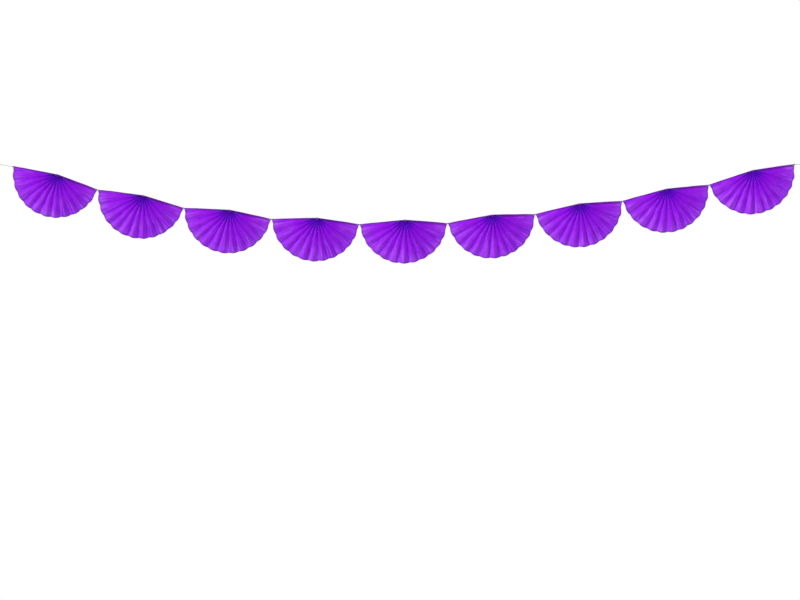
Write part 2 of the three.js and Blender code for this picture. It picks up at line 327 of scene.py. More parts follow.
# %% A crease's angle, in a fan that is spread from the left edge to the right
MOUNTAIN_SHARE = -0.15  # in pleats, as the photograph's bands of light and shade show
VALLEY_SHARE = 0.32
FOLD_DRIFT = 0.07
DRIFTING_PLEATS = (6.0, 8.5)


def crease_angle(crease):
    if crease in (0, FOLDS):
        return LEFT_EDGE + OPENING * crease / FOLDS
    pleat, odd = divmod(crease, 2)
    place = pleat + (VALLEY_SHARE if odd else MOUNTAIN_SHARE)
    place -= FOLD_DRIFT * smooth_step(*DRIFTING_PLEATS, place)
    return LEFT_EDGE + OPENING * place / PLEATS


print("first creases", [round(math.degrees(crease_angle(k) - LEFT_EDGE), 1) for k in range(5)])

# %% How far the plies part between the gather and the rim
FRONT_PUFF = 1.55
BACK_PUFF = 0.6
PUFF_SETS_IN = (0.03, 0.14)  # shares of the way out, as in every range for out below
PUFF_FADES = (0.45, 1.0)
PUFF_LOSS = 0.96


def puff_share(out, is_front):
    """How far a ply stands off its far creases, as a share of half the depth."""
    most = FRONT_PUFF if is_front else BACK_PUFF
    return most * smooth_step(*PUFF_SETS_IN, out) * (1 - PUFF_LOSS * smooth_step(*PUFF_FADES, out))


# %% A point on a crease
LEFT_EDGE_SHARE = -0.29  # how far the free end edges stand forward, in half depths
RIGHT_EDGE_SHARE = -0.17
SCALLOP_SHIFT = 0.16  # in folds
SCALLOP_SPARE = 0.0006  # this and the next two stand out past the solid model's edges
RIM_SPARE = 0.0010
HEM_SPARE = 0.0007
QUIET_FOLDS = 3  # folds at each end over which the first two of them fade
CREASE_WANDER = 0.010
FOLD_SEED = 2.5


def crease_point(crease, out, along, is_front):
    """A crease's point, with the rim where it is at that place along the strip."""
    angle = crease_angle(crease)
    scallop = abs(math.cos((along - SCALLOP_SHIFT) * math.pi / 2)) - 0.5
    scallop *= RIM_SCALLOP + SCALLOP_SPARE * smooth_step(0, QUIET_FOLDS, from_end(along))
    reach = fold_length(angle) + scallop
    radius = GATHER_RADIUS + (reach - GATHER_RADIUS) * out
    half_depth = fold_depth(radius) / 2
    if crease in (0, FOLDS):
        depth = half_depth * (RIGHT_EDGE_SHARE if crease else LEFT_EDGE_SHARE)
    else:
        angle += CREASE_WANDER * noise.noise(Vector((crease * 3.7, out * 3.0, FOLD_SEED)))
        is_mountain = crease % 2 == 0
        held_back = 1.0 if is_mountain == is_front else 1 - puff_share(out, is_front)
        depth = half_depth * held_back * (-1 if is_mountain else 1)
    spare = RIM_SPARE * out * smooth_step(0, QUIET_FOLDS, from_end(crease))
    flat = direction(angle) * (radius + spare)
    if crease in (0, FOLDS):
        flat.y += HEM_SPARE * smooth_step(0.0, 0.1, out) * (1 - smooth_step(0.7, 0.93, out))
    return Vector((flat.x, depth, flat.y))


# %% The small second ripple, and the dome of the whole fan
RIPPLE_HEIGHT = 0.0036
DOME_FORWARD = 0.004
DOME_BACK = 0.010
DOME_TURN = 0.3  # how far out the fan stops coming forward and starts to lie back


def ripple_depth(along, out):
    """Front to back height of the small second ripple, on the right half and near the rim."""
    crease, share = divmod(along, 1)
    if crease % 2 == 0 or crease == FOLDS - 1:
        return 0.0
    reach = smooth_step(0.35, 0.9, out) * on_right_half(along)
    return RIPPLE_HEIGHT * reach * math.sin(math.pi * share) * math.cos(3 * math.pi * share)


def dome_depth(along, out):
    """The whole fan is a little domed: its middle comes forward and its rim lies back."""
    forward = DOME_FORWARD * smooth_step(0, DOME_TURN, out)
    back = DOME_BACK * max(0.0, out - DOME_TURN) / (1 - DOME_TURN)
    return (back - forward) * smooth_step(0.5, 3.0, from_end(along))


# %% A point between two creases
CREASE_POWER = 1.7  # 1 would be a straight fold, and more is a rounder mountain
BELLY_HEIGHT = 0.0009


def strip_point(along, out, is_front):
    """along counts folds from the left end, out runs from 0 at the gather to 1 at the rim."""
    crease = min(int(along), FOLDS - 1)
    share = along - crease
    start = crease_point(crease, out, along, is_front)
    end = crease_point(crease + 1, out, along, is_front)
    near_rim = smooth_step(0.4, 0.9, out)
    if (crease % 2 == 0) == is_front:
        backwards = share ** (CREASE_POWER - 0.35 * near_rim - 0.65 * on_right_half(along))
    else:
        backwards = 1 - (1 - share) ** (CREASE_POWER + 0.6 * near_rim)
    point = start.lerp(end, share)
    point.y = start.y + (end.y - start.y) * backwards
    lift = noise.noise(Vector((crease * 5.1, out * 2.2, FOLD_SEED + 7))) + 0.3
    belly = BELLY_HEIGHT * math.sin(math.pi * share) * smooth_step(0.1, 0.6, out)
    belly *= smooth_step(0.3, 1.5, from_end(along))
    point.y += belly * lift + ripple_depth(along, out) + dome_depth(along, out)
    return point


print("middle of the rim", [round(x, 4) for x in strip_point(PLEATS, 1, True)])

# %% [markdown]
# ## One ply of tissue, flat
# The strip starts as a flat grid with a column of edges on every crease, so that each fold gets a
# sharp edge. The punched holes are cut while the paper is still flat, as a hand punch would: the
# four cells round a corner are dissolved into one face, the face is inset, the inset is made
# round and its inside is deleted. A boolean cutter would also do, but it breaks easily on thin
# paper that is folded tight.

# %% The flat strip, with the places of its two holes
COLUMNS_PER_FOLD = 6
ROWS = 32

bpy.ops.mesh.primitive_grid_add(
    x_subdivisions=FOLDS * COLUMNS_PER_FOLD, y_subdivisions=ROWS, size=1)
flat_strip = bpy.context.object
flat_strip.name = "flat_strip"
for vertex in flat_strip.data.vertices:
    vertex.co.x = (vertex.co.x + 0.5) * STRIP_LENGTH
    vertex.co.y = (vertex.co.y + 0.5) * STRIP_WIDTH


def hole_on_strip(centre, edge, next_crease):
    """A corner hole's place on the flat strip: from the end edge, and from the gather."""
    edge_angle = crease_angle(edge)
    turn = abs(math.atan2(centre.y, centre.x) % (2 * math.pi) - edge_angle)
    first_fold = abs(crease_angle(next_crease) - edge_angle)
    reach = fold_length(edge_angle) + RIM_SCALLOP / 2
    out = (centre.length - GATHER_RADIUS) / (reach - GATHER_RADIUS)
    return FOLD_WIDTH * turn / first_fold, out * STRIP_WIDTH


left_inset, left_out = hole_on_strip(LEFT_HOLE, 0, 1)
right_inset, right_out = hole_on_strip(RIGHT_HOLE, FOLDS, FOLDS - 1)
holes_on_strip = [
    Vector((left_inset, left_out, 0)),
    Vector((STRIP_LENGTH - right_inset, right_out, 0)),
]
print("flat strip", len(flat_strip.data.vertices), "points, holes",
      [tuple(round(x, 4) for x in hole) for hole in holes_on_strip])

# %% Punch the holes
PUNCHED_RADIUS = 0.0009
FIRST_INSET = 0.0006

for hole in holes_on_strip:
    nearest = min(flat_strip.data.vertices, key=lambda vertex: (vertex.co - hole).length)
    nearest.co = hole
    for part in (flat_strip.data.vertices, flat_strip.data.edges, flat_strip.data.polygons):
        part.foreach_set("select", [False] * len(part))
    for polygon in flat_strip.data.polygons:
        polygon.select = nearest.index in polygon.vertices
    bpy.ops.object.mode_set(mode="EDIT")
    bpy.ops.mesh.select_mode(type="FACE")
    bpy.ops.mesh.dissolve_faces()
    bpy.ops.mesh.inset(thickness=FIRST_INSET)
    bpy.ops.mesh.subdivide(number_cuts=1)
    bpy.ops.object.mode_set(mode="OBJECT")
    round_edge = [vertex for vertex in flat_strip.data.vertices if vertex.select]
    for vertex in round_edge:
        vertex.co = hole + (vertex.co - hole).normalized() * PUNCHED_RADIUS
    bpy.ops.object.mode_set(mode="EDIT")
    bpy.ops.mesh.delete(type="FACE")
    bpy.ops.object.mode_set(mode="OBJECT")
    print("punched a hole with", len(round_edge), "sides")

# %% Write the strip's own map: across the folds, and from the gather to the rim
strip_map = flat_strip.data.uv_layers.active
strip_map.name = "strip"
for loop in flat_strip.data.loops:
    place = flat_strip.data.vertices[loop.vertex_index].co
    strip_map.data[loop.index].uv = (place.x / STRIP_LENGTH, place.y / STRIP_WIDTH)
flat_strip.select_set(False)
print("map", strip_map.name, "with", len(strip_map.data), "corners")

# %% [markdown]
# ## The folded fan
# Two plies lie on each other. At the rim they drift apart by up to a millimetre, which shows as
# a double edge from close by. Each ply is a copy of the flat strip whose points are moved to
# their folded places, then both are joined and get the thickness of paper. A cloth simulation
# could do the folding, but tissue folds where it was creased, and the folds' sum is exact.

# %% Fold one ply
PAPER_THICKNESS = 0.00007
RIM_GAP = 0.0008
CUT_WANDER = 0.004  # how unevenly the rim is cut, as a share of the strip's width
CRUMPLE_HEIGHT = 0.00045


def folded_ply(name, is_front, seed):
    """A copy of the flat strip with its points at their folded places, a little crumpled."""
    ply = flat_strip.copy()
    ply.data = flat_strip.data.copy()
    ply.name = name
    bpy.context.collection.objects.link(ply)
    places = []
    for vertex in ply.data.vertices:
        along = vertex.co.x / FOLD_WIDTH
        out = vertex.co.y / STRIP_WIDTH
        places.append((along, out))
        trim = CUT_WANDER * noise.noise(Vector((along * 0.9, seed * 5, 0)))
        vertex.co = strip_point(min(along, FOLDS), out * (1 + trim * out), is_front)
    ply.data.update()
    normals = [vertex.normal.copy() for vertex in ply.data.vertices]
    front_facing = -1 if sum(normal.y for normal in normals) > 0 else 1
    lift = 0.5 * front_facing * (1 if is_front else -1)
    for vertex, normal, (along, out) in zip(ply.data.vertices, normals, places):
        drift = 0.5 + noise.noise(Vector((along * 0.55, out * 2.0, seed)))
        calm = smooth_step(0.006, 0.02, corner_distance(in_fan_frame(vertex.co)))
        gap = PAPER_THICKNESS + RIM_GAP * smooth_step(0.35, 1.0, out) * drift * calm
        crumple = noise.noise(Vector((along * FOLD_WIDTH * 75, out * STRIP_WIDTH * 60, seed)))
        crumple += 0.5 * noise.noise(Vector((along * FOLD_WIDTH * 160, out * 22, seed + 3)))
        crumple *= CRUMPLE_HEIGHT * smooth_step(0.05, 0.35, out) * calm
        vertex.co += normal * (lift * gap + crumple)
    return ply


front_ply = folded_ply("front_ply", True, 11.0)
back_ply = folded_ply("back_ply", False, 11.4)
print("plies", [tuple(round(x, 4) for x in ply.dimensions) for ply in (front_ply, back_ply)])


# %% Join the plies and give them the thickness of paper
def join_pieces(main, *others):
    """The others become part of the main piece, which stays selected and keeps its name."""
    bpy.ops.object.select_all(action="DESELECT")
    for piece in (main, *others):
        piece.select_set(True)
    bpy.context.view_layer.objects.active = main
    bpy.ops.object.join()


SMOOTH_BELOW = math.radians(22)

join_pieces(front_ply, back_ply)
fan_master = bpy.context.object
fan_master.name = "fan_master"
bpy.ops.object.modifier_add(type="SOLIDIFY")
fan_master.modifiers[-1].thickness = PAPER_THICKNESS
fan_master.modifiers[-1].offset = 0
bpy.ops.object.modifier_apply(modifier=fan_master.modifiers[-1].name)
bpy.ops.object.shade_smooth_by_angle(angle=SMOOTH_BELOW)
fan_master.select_set(False)
print("fan master", len(fan_master.data.polygons), "faces")

# %% Hang a fan at each joint, each with its own mesh and its own small crumples
SWAY = (0.0010, 0.0024, 0.0008)
SWAY_SHIFTS = (Vector((0, 0, 0)), Vector((0, 9, 0)), Vector((9, 0, 0)))
SWAY_SCALE = 16

tissue_fans = []
for number, joint in enumerate(swings, start=1):
    fan = fan_master.copy()
    fan.data = fan_master.data.copy()
    fan.name = f"tissue_fan_{number}"
    bpy.context.collection.objects.link(fan)
    for vertex in fan.data.vertices:
        point = in_fan_frame(vertex.co)
        out = math.hypot(vertex.co.x, vertex.co.z) / FAN_RADIUS
        free = smooth_step(0.008, 0.05, corner_distance(point)) * smooth_step(0.05, 0.8, out)
        where = Vector((vertex.co.x * SWAY_SCALE, vertex.co.z * SWAY_SCALE, number * 4.3))
        sway = Vector([
            most * noise.noise(where + shift) for most, shift in zip(SWAY, SWAY_SHIFTS)])
        vertex.co = in_garland(joint, point + sway * free)
    fan.data.update()
    tissue_fans.append(fan)
print("fans", len(tissue_fans))

for leftover in (flat_strip, fan_master):
    bpy.data.objects.remove(leftover)

# %% [markdown]
# ## Thread round the gather
# A thread goes twice round the neck of the fan. It lies on a small cylinder round the gather:
# along the front, over one top edge, along the back and over the other edge, so its path is a
# rounded rectangle bent round that cylinder. Two plain rings would be quicker, but they would
# cut through the folds and show no winding.

# %% A place on a rounded rectangle
def rounded_rectangle(half_width, half_height, corner, turn):
    """The point at a share of the way round, starting in the middle of the right side."""
    straight = (2 * (half_width - corner), 2 * (half_height - corner))
    bend = corner * math.pi / 2
    whole = 2 * (straight[0] + straight[1]) + 4 * bend
    left = (turn % 1) * whole
    stretches = [straight[1] / 2, bend, straight[0], bend, straight[1], bend, straight[0], bend,
                 straight[1] / 2]
    place = Vector((half_width, 0))
    heading = math.pi / 2
    for kind, stretch in enumerate(stretches):
        done = min(left, stretch)
        if kind % 2:
            centre = place + direction(heading + math.pi / 2) * corner
            heading += done / corner
            place = centre + direction(heading - math.pi / 2) * corner
        else:
            place = place + direction(heading) * done
        left -= done
        if left <= 0:
            break
    return place


# %% The winding's path, in the fan's own frame
NECK_RADIUS = 0.0055
NECK_CORNER = 0.0016
NECK_TURNS = 2
NEXT_TURN = 0.00095  # how much further out each turn lies
POINTS_PER_TURN = 88


def winding_path():
    offset = CLEARANCE + THREAD_RADIUS
    half_depth = fold_depth(GATHER_RADIUS) / 2 + offset
    middle = LEFT_EDGE + OPENING / 2
    points = []
    for k in range(NECK_TURNS * POINTS_PER_TURN + 1):
        turn = k / POINTS_PER_TURN
        radius = NECK_RADIUS + NEXT_TURN * turn
        half_arc = radius * OPENING / 2 + offset
        around, back = rounded_rectangle(half_arc, half_depth, NECK_CORNER, turn + 0.25)
        out = direction(middle + around / radius)
        points.append(in_fan_frame(Vector((out.x * radius, back, out.y * radius))))
    return points


print("winding", len(winding_path()), "points")

# %% Wind every fan's neck
THREAD_TWIST = 0.0024
WINDING_STEP = 0.0005

windings = []
for number, joint in enumerate(swings, start=1):
    path = smooth_path([in_garland(joint, point) for point in winding_path()], WINDING_STEP)
    windings.append(
        twisted_thread(f"gather_winding_{number}", path, THREAD_RADIUS, 2, THREAD_TWIST))
print("windings", len(windings), "with", len(windings[0].data.polygons), "faces each")

# %% [markdown]
# ## Eyes through the corner holes
# Each corner hole holds a doubled thread: it comes along the front of the paper, turns through
# the hole and goes back behind it, to the knot. A closed ring would also hold the corner, but a
# thread that runs on into the knot is what such garlands have. At the two ends of the garland the
# same eye is made of the string.

# %% An eye's path, in the fan's own frame
HALF_STACK = 0.000225  # half the thickness of the paper's stack at the hole
EYE_PLAY = 0.00035
LEG_PINCH = 0.8  # how much of their distance the legs keep at the knot
BEND_STEPS = 8


def leg_offset(radius):
    """How far in front of the paper's middle and behind it an eye's two legs lie."""
    return HALF_STACK + CLEARANCE + radius


def eye_path(radius, is_left):
    leg = leg_offset(radius)
    start = KNOT_HALF_LENGTH - HALF_TIE
    tip = EYE_PLAY + radius - HOLE_RADIUS
    points = [Vector((start, -leg * LEG_PINCH, 0)), Vector((start / 2, -leg, 0))]
    for k in range(BEND_STEPS + 1):
        angle = math.pi * (k / BEND_STEPS - 0.5)
        points.append(Vector((tip - leg + leg * math.cos(angle), leg * math.sin(angle), 0)))
    points += [Vector((start / 2, leg, 0)), Vector((start, leg * LEG_PINCH, 0))]
    if not is_left:
        for point in points:
            point.x = HOLE_SPAN - point.x
    return points


# %% Thread the eyes
EYE_STEP = 0.0003
TWIST_IN_RADII = 6

eyes = {}
for number, joint in enumerate(swings, start=1):
    for side in ("left", "right"):
        is_end = (number, side) in ((1, "left"), (len(swings), "right"))
        radius = STRING_RADIUS if is_end else THREAD_RADIUS
        path = smooth_path(
            [in_garland(joint, point) for point in eye_path(radius, side == "left")], EYE_STEP)
        eyes[number, side] = twisted_thread(
            f"{side}_eye_thread_{number}", path, radius, 3 if is_end else 2,
            radius * TWIST_IN_RADII)
print("eyes", len(eyes))

# %% [markdown]
# ## Knots
# Every two eyes meet in a small knot: the thread's end is wound three times round the others and
# pulled tight, which makes a little barrel, and two short ends stick out of it. The winding is a
# helix whose radius swells in the middle. The knots of the string are the same, thicker.

# %% A knot's winding and its two cut ends, along X round the origin
KNOT_TURNS = 3.2
KNOT_STEPS = 72
KNOT_SWELL = 0.0005
FIRST_ANGLE = 0.6
CORE_SHARE = 0.9  # of the knot's length
CORE_STEPS = 6


def knot_path(radius):
    outer = leg_offset(radius) + radius + CLEARANCE
    half = KNOT_HALF_LENGTH - radius
    points = []
    for k in range(KNOT_STEPS + 1):
        share = k / KNOT_STEPS
        along = 2 * share - 1
        reach = outer - radius + KNOT_SWELL * (1 - along ** 2)
        angle = 2 * math.pi * KNOT_TURNS * share + FIRST_ANGLE
        points.append(Vector((half * along, reach * math.cos(angle), reach * math.sin(angle))))
    first = points[0] + Vector((0.0004, -0.0006, -0.0012))
    last = points[-1] + Vector((-0.0004, 0.0006, -0.0012))
    first_tip = first + Vector((-0.0002, -0.0006, -0.0022))
    last_tip = last + Vector((0.0003, 0.0009, -0.0020))
    return [first_tip, first] + points + [last, last_tip]


def core_path():
    """The strands inside the knot, a short straight stretch."""
    half = KNOT_HALF_LENGTH * CORE_SHARE
    steps = range(2 * CORE_STEPS + 1)
    return [Vector((half * (k / CORE_STEPS - 1), 0, 0)) for k in steps]


# %% Tie one knot, as one piece of its winding and its core
KNOT_STEP = 0.00035
CORE_RADII = 2.3  # how thick the core is, in radii of the thread
CORE_TWIST_IN_RADII = 9


def place_along(points, centre, right):
    """The points of a knot round its centre, with its X along the line."""
    up = right.cross(Vector((0, 1, 0)))
    return [centre + right * p.x + Vector((0, p.y, 0)) + up * p.z for p in points]


def knot(name, radius, centre, right, strands):
    wound = twisted_thread(
        name, smooth_path(place_along(knot_path(radius), centre, right), KNOT_STEP),
        radius, strands, radius * TWIST_IN_RADII)
    core = twisted_thread(
        name + "_core", place_along(core_path(), centre, right), radius * CORE_RADII,
        strands, radius * CORE_TWIST_IN_RADII)
    join_pieces(wound, core)
    wound.select_set(False)
    return wound


# %% Tie the eight corner knots and the two end knots
knots = {}
for number in range(1, len(swings)):
    left_end = in_garland(swings[number - 1], Vector((HOLE_SPAN, 0, 0)))
    right_end = Vector(swings[number]["pos_m"])
    right = (right_end - left_end).normalized()
    knots[f"corner_knot_{number}"] = knot(
        f"thread_knot_{number}", THREAD_RADIUS, (left_end + right_end) / 2, right, 2)

left_right = along_line(swings[0])
left_centre = Vector(swings[0]["pos_m"]) - left_right * HALF_TIE
knots["left_end_knot"] = knot("string_knot_left", STRING_RADIUS, left_centre, left_right, 3)
right_right = along_line(swings[-1])
right_centre = in_garland(swings[-1], Vector((HOLE_SPAN, 0, 0))) + right_right * HALF_TIE
knots["right_end_knot"] = knot("string_knot_right", STRING_RADIUS, right_centre, right_right, 3)
print("knots", len(knots))

# %% [markdown]
# ## The tie over the gather
# The winding's two ends come in over the fan's top edges and are knotted in the notch between
# them. The knot is the corner knots' again, a millimetre below the gather's middle, and all three
# threads are joined, because on the real fan they are one thread.

# %% Tie off the thread of every neck, in the notch between the fan's two top edges
TIE_RADII = (0.0064, 0.0038, 0.0026)
TIE_DEPTH = 0.0010
TIE_STEP = 0.0004
NOTCH_HALF_WIDTH = 0.0014
NOTCH_DEPTH = 0.0008


def tie_path():
    lift = CLEARANCE + THREAD_RADIUS
    left = direction(LEFT_EDGE)
    right = direction(RIGHT_EDGE)
    along_left = [Vector((left.x * r, 0, left.y * r + lift)) for r in TIE_RADII]
    along_right = [Vector((right.x * r, 0, right.y * r + lift)) for r in TIE_RADII[::-1]]
    notch = [Vector((side * NOTCH_HALF_WIDTH, 0, -NOTCH_DEPTH)) for side in (-1, 1)]
    return along_left + notch + along_right


for number, (joint, winding) in enumerate(zip(swings, windings), start=1):
    centre = in_garland(joint, in_fan_frame(Vector((0, 0, -TIE_DEPTH))))
    tied = knot(f"gather_knot_{number}", THREAD_RADIUS, centre, along_line(joint), 2)
    path = smooth_path(
        [in_garland(joint, in_fan_frame(point)) for point in tie_path()], TIE_STEP)
    ends = twisted_thread(f"gather_ends_{number}", path, THREAD_RADIUS, 2, THREAD_TWIST)
    join_pieces(winding, tied, ends)
    winding.select_set(False)
print("windings with their knots", len(windings[0].data.polygons), "faces each")

# %% [markdown]
# ## Strings and hanging loops
# Each string is laid of three strands along its route. At its far end a knot closes a loop that
# goes over a hook. The loop is a pointed oval, wider towards its far end, because it is limp and
# hangs open a little. A round ring would look stiff.

# %% Lay the strings, with the knot and the loop at their far ends
STRING_TWIST = 0.0042
STRING_STEP = 0.0006
LOOP_LENGTH = 0.034
LOOP_WIDTH = 0.015
LOOP_SIDE = [(0, 0.18), (0.22, 0.38), (0.46, 0.74), (0.66, 0.96), (0.82, 0.94), (0.95, 0.56)]


def hanging_string(side, route, centre, to_side):
    """The string from an end knot, then a knot, then the loop. to_side is -1 on the left."""
    points = [centre + Vector((to_side * (STRING_START + out), 0, up)) for out, up in route]
    path = smooth_path(points, STRING_STEP)
    string = twisted_thread(f"cotton_string_{side}", path, STRING_RADIUS, 3, STRING_TWIST)
    outwards = (path[-1] - path[-2]).normalized()
    knot_centre = path[-1] + outwards * STRING_START
    loop_knot = knot(f"string_loop_knot_{side}", STRING_RADIUS, knot_centre, outwards, 3)
    up = Vector((0, 1, 0)).cross(outwards) * -1
    reach = LOOP_LENGTH - STRING_RADIUS
    half_width = LOOP_WIDTH / 2 - STRING_RADIUS
    start = knot_centre + outwards * STRING_START
    upper = [start + outwards * along * reach + up * out * half_width for along, out in LOOP_SIDE]
    lower = [start + outwards * along * reach - up * out * half_width for along, out in LOOP_SIDE]
    loop_points = upper + [start + outwards * reach] + lower[::-1]
    loop = twisted_thread(
        f"string_loop_{side}", smooth_path(loop_points, STRING_STEP), STRING_RADIUS, 3,
        STRING_TWIST, across=(0, 1, 0))
    return string, path, loop_knot, loop


left_cord = hanging_string("left", LEFT_STRING_ROUTE, left_centre, -1)
right_cord = hanging_string("right", RIGHT_STRING_ROUTE, right_centre, 1)
print("string faces", len(left_cord[0].data.polygons))

# %% [markdown]
# ## Finishes
# Each finish is a small tree of nodes. One helper makes a node and fills in its inputs, and a few
# more stand for the nodes that every finish uses, so that each tree reads from top to bottom.

# %% A node with its inputs, and an empty material
def add_node(tree, kind, settings=None, **inputs):
    """Inputs are given by name, with _ for a space, or by number, as n0, n1 and n2."""
    made = tree.nodes.new(kind)
    for name, value in (settings or {}).items():
        setattr(made, name, value)
    for name, value in inputs.items():
        socket = made.inputs[int(name[1:])] if name[0] == "n" and name[1:].isdigit() else (
            made.inputs[name.replace("_", " ")])
        if isinstance(value, bpy.types.NodeSocket):
            tree.links.new(value, socket)
        else:
            socket.default_value = value
    return made


def empty_material(name):
    material = bpy.data.materials.new(name)
    material.use_nodes = True
    material.node_tree.nodes.clear()
    output = material.node_tree.nodes.new("ShaderNodeOutputMaterial")
    return material, material.node_tree, output


# %% Nodes that the finishes share: arithmetic, a range, a shade of a colour, noise, a ramp
def calculated(tree, operation, first, second=0.5):
    """Arithmetic such as MULTIPLY, with two numbers. ABSOLUTE uses the first alone."""
    return add_node(
        tree, "ShaderNodeMath", {"operation": operation}, n0=first, n1=second).outputs[0]


def mapped(tree, value, low, high, to_low=0.0, to_high=1.0):
    """A value between low and high, laid between to_low and to_high."""
    return add_node(
        tree, "ShaderNodeMapRange", Value=value, From_Min=low, From_Max=high, To_Min=to_low,
        To_Max=to_high).outputs[0]


def scaled(tree, colour, factor):
    return add_node(
        tree, "ShaderNodeVectorMath", {"operation": "SCALE"}, n0=colour, Scale=factor).outputs[0]


def noise_map(tree, place, scale, detail, roughness=0.5):
    return add_node(
        tree, "ShaderNodeTexNoise", Vector=place, Scale=scale, Detail=detail,
        Roughness=roughness).outputs[0]


def ramp(tree, value, stops):
    made = tree.nodes.new("ShaderNodeValToRGB")
    elements = made.color_ramp.elements
    while len(elements) < len(stops):
        elements.new(0.5)
    for element, (place, colour) in zip(elements, stops):
        element.position = place
        element.color = (*colour, 1)
    tree.links.new(value, made.inputs[0])
    return made.outputs[0]


# %% [markdown]
# ## Violet tissue
# Tissue is thin, matt and dyed in the pulp. Its colour follows the strip's own map from the gather
# to
# the rim, and painted shade is in it: a clear violet at the rim, darkening towards indigo where
# the folds stand deep near the gather and shade each other, and lighter again right at the gather,
# as painted light against the shadow in the notch. A band along both end edges, darkest towards
# the gather, and a thin line along the cut rim are painted shade. Pale streaks along the folds,
# stronger towards the rim, are painted sheen. Clouds of pulp, fine creases from handling and the
# fibres come from noise in the garland's own space, so no two fans are alike.

# %% The tissue's colour, with painted shade, painted sheen in pale streaks and clouds of pulp
STREAK_SCALE = (46.0, 2.5, 0.0)  # narrow across the folds, long from the gather to the rim
SHEEN_STREAK_COLOUR = (0.11, 0.085, 0.07)


def tissue_colour_with_painted_light(tree, strip, place, out):
    # Painted shade and light: the colour darkens from the rim towards the gather, most where the
    # folds stand deep and shade each other, and the first two stops are painted light that offsets
    # the shadow in the notch and the painted edge shade there.
    dye_with_painted_light = ramp(tree, out, [
        (0.00, (0.460, 0.008, 1.000)),
        (0.06, (0.320, 0.004, 1.000)),
        (0.13, (0.138, 0.001, 0.620)),
        (0.20, (0.166, 0.001, 0.630)),
        (0.30, (0.232, 0.001, 0.685)),
        (0.50, (0.276, 0.003, 0.745)),
        (0.75, (0.325, 0.014, 0.790)),
        (1.00, (0.336, 0.036, 0.810)),
    ])
    along_folds = add_node(
        tree, "ShaderNodeVectorMath", {"operation": "MULTIPLY"}, n0=strip, n1=STREAK_SCALE)
    sideways = add_node(tree, "ShaderNodeSeparateXYZ", n0=place).outputs[0]
    streaks = add_node(
        tree, "ShaderNodeTexNoise", {"noise_dimensions": "4D"}, Vector=along_folds.outputs[0],
        W=calculated(tree, "MULTIPLY", sideways, 6.0), Scale=1.0, Detail=2.0, Roughness=0.5)
    # Painted sheen: pale streaks along the folds, standing in for a whitish sheen, stronger
    # towards the rim.
    sheen_streak_mask = mapped(tree, streaks.outputs[0], 0.50, 0.72)
    far_out = mapped(tree, out, 0.45, 0.95)
    painted_sheen = scaled(tree, SHEEN_STREAK_COLOUR, calculated(tree, "MULTIPLY", sheen_streak_mask, far_out))
    dye_with_painted_light = add_node(tree, "ShaderNodeVectorMath", {"operation": "ADD"}, n0=dye_with_painted_light, n1=painted_sheen)
    cloudy = mapped(tree, noise_map(tree, place, 55.0, 4.0, 0.6), 0.3, 0.7, 0.90, 1.08)
    return scaled(tree, dye_with_painted_light.outputs[0], cloudy)


# %% Painted shade: a band along both end edges and a thin line along the cut rim
EDGE_SHADE_WIDTH = 0.0068
RIM_PAINTED_SHADE = ((0.0085, 1.00), (0.0060, 0.89), (0.0030, 0.80), (0.0012, 0.52))  # metres, shade


def painted_edge_shade(tree, along, out):
    from_middle = calculated(tree, "ABSOLUTE", calculated(tree, "SUBTRACT", along, 0.5))
    from_edge = calculated(tree, "MULTIPLY", calculated(tree, "SUBTRACT", 0.5, from_middle), out)
    edge_width = EDGE_SHADE_WIDTH / (STRIP_WIDTH * OPENING)
    # Painted shade along both end edges, where the end folds turn from the light, darkest towards
    # the gather.
    darkest = mapped(tree, out, 0.02, 0.09, 0.80, 0.52)
    edge_band_shade = mapped(tree, from_edge, 0.7 * edge_width, 1.1 * edge_width, darkest, 1.0)
    # Painted shade: a thin darker line along the cut rim.
    rim_shade = ramp(tree, out, [
        (1 - inwards / STRIP_WIDTH, (shade, shade, shade)) for inwards, shade in RIM_PAINTED_SHADE])
    return calculated(tree, "MULTIPLY", edge_band_shade, rim_shade)


# %% Fine creases from handling, and the crumple of the fibres, as bump
def tissue_bump(tree, place):
    creases = add_node(
        tree, "ShaderNodeTexVoronoi", {"feature": "DISTANCE_TO_EDGE"}, Vector=place, Scale=95.0)
    crease_height = mapped(tree, creases.outputs[0], 0.0, 0.12, 1.0, 0.0)
    coarse = add_node(
        tree, "ShaderNodeBump", Height=crease_height, Strength=0.5, Distance=0.00025)
    crumple = noise_map(tree, place, 230.0, 5.0, 0.65)
    return add_node(
        tree, "ShaderNodeBump", Height=crumple, Strength=0.6, Distance=0.0006,
        Normal=coarse.outputs[0]).outputs[0]


# %% The tissue's finish
def tissue_material():
    material, tree, output = empty_material("violet_tissue")
    strip = add_node(tree, "ShaderNodeUVMap", {"uv_map": "strip"}).outputs[0]
    place = add_node(tree, "ShaderNodeTexCoord").outputs["Object"]
    axes = add_node(tree, "ShaderNodeSeparateXYZ", n0=strip)
    along, out = axes.outputs[0], axes.outputs[1]
    dye_with_painted_light = tissue_colour_with_painted_light(tree, strip, place, out)
    surface = add_node(
        tree, "ShaderNodeBsdfPrincipled",
        Base_Color=scaled(tree, dye_with_painted_light, painted_edge_shade(tree, along, out)), Roughness=0.42,
        Specular_IOR_Level=0.08, Sheen_Weight=0.03, Sheen_Roughness=0.5,
        Sheen_Tint=(0.85, 0.7, 1.0, 1), Normal=tissue_bump(tree, place))
    tree.links.new(surface.outputs[0], output.inputs[0])
    return material


tissue = tissue_material()
print("finish", tissue.name, len(tissue.node_tree.nodes), "nodes")

# %% [markdown]
# ## Thread and string
# The sewing thread has the tissue's colour. At the gather it is lighter, as painted light against
# the shade of the folds round it, as the tissue's colour is there. The photograph shows the cotton
# string as a faint, pale grey line. The twist is real, so the finish adds what is smaller: loose
# fibres and uneven dye.

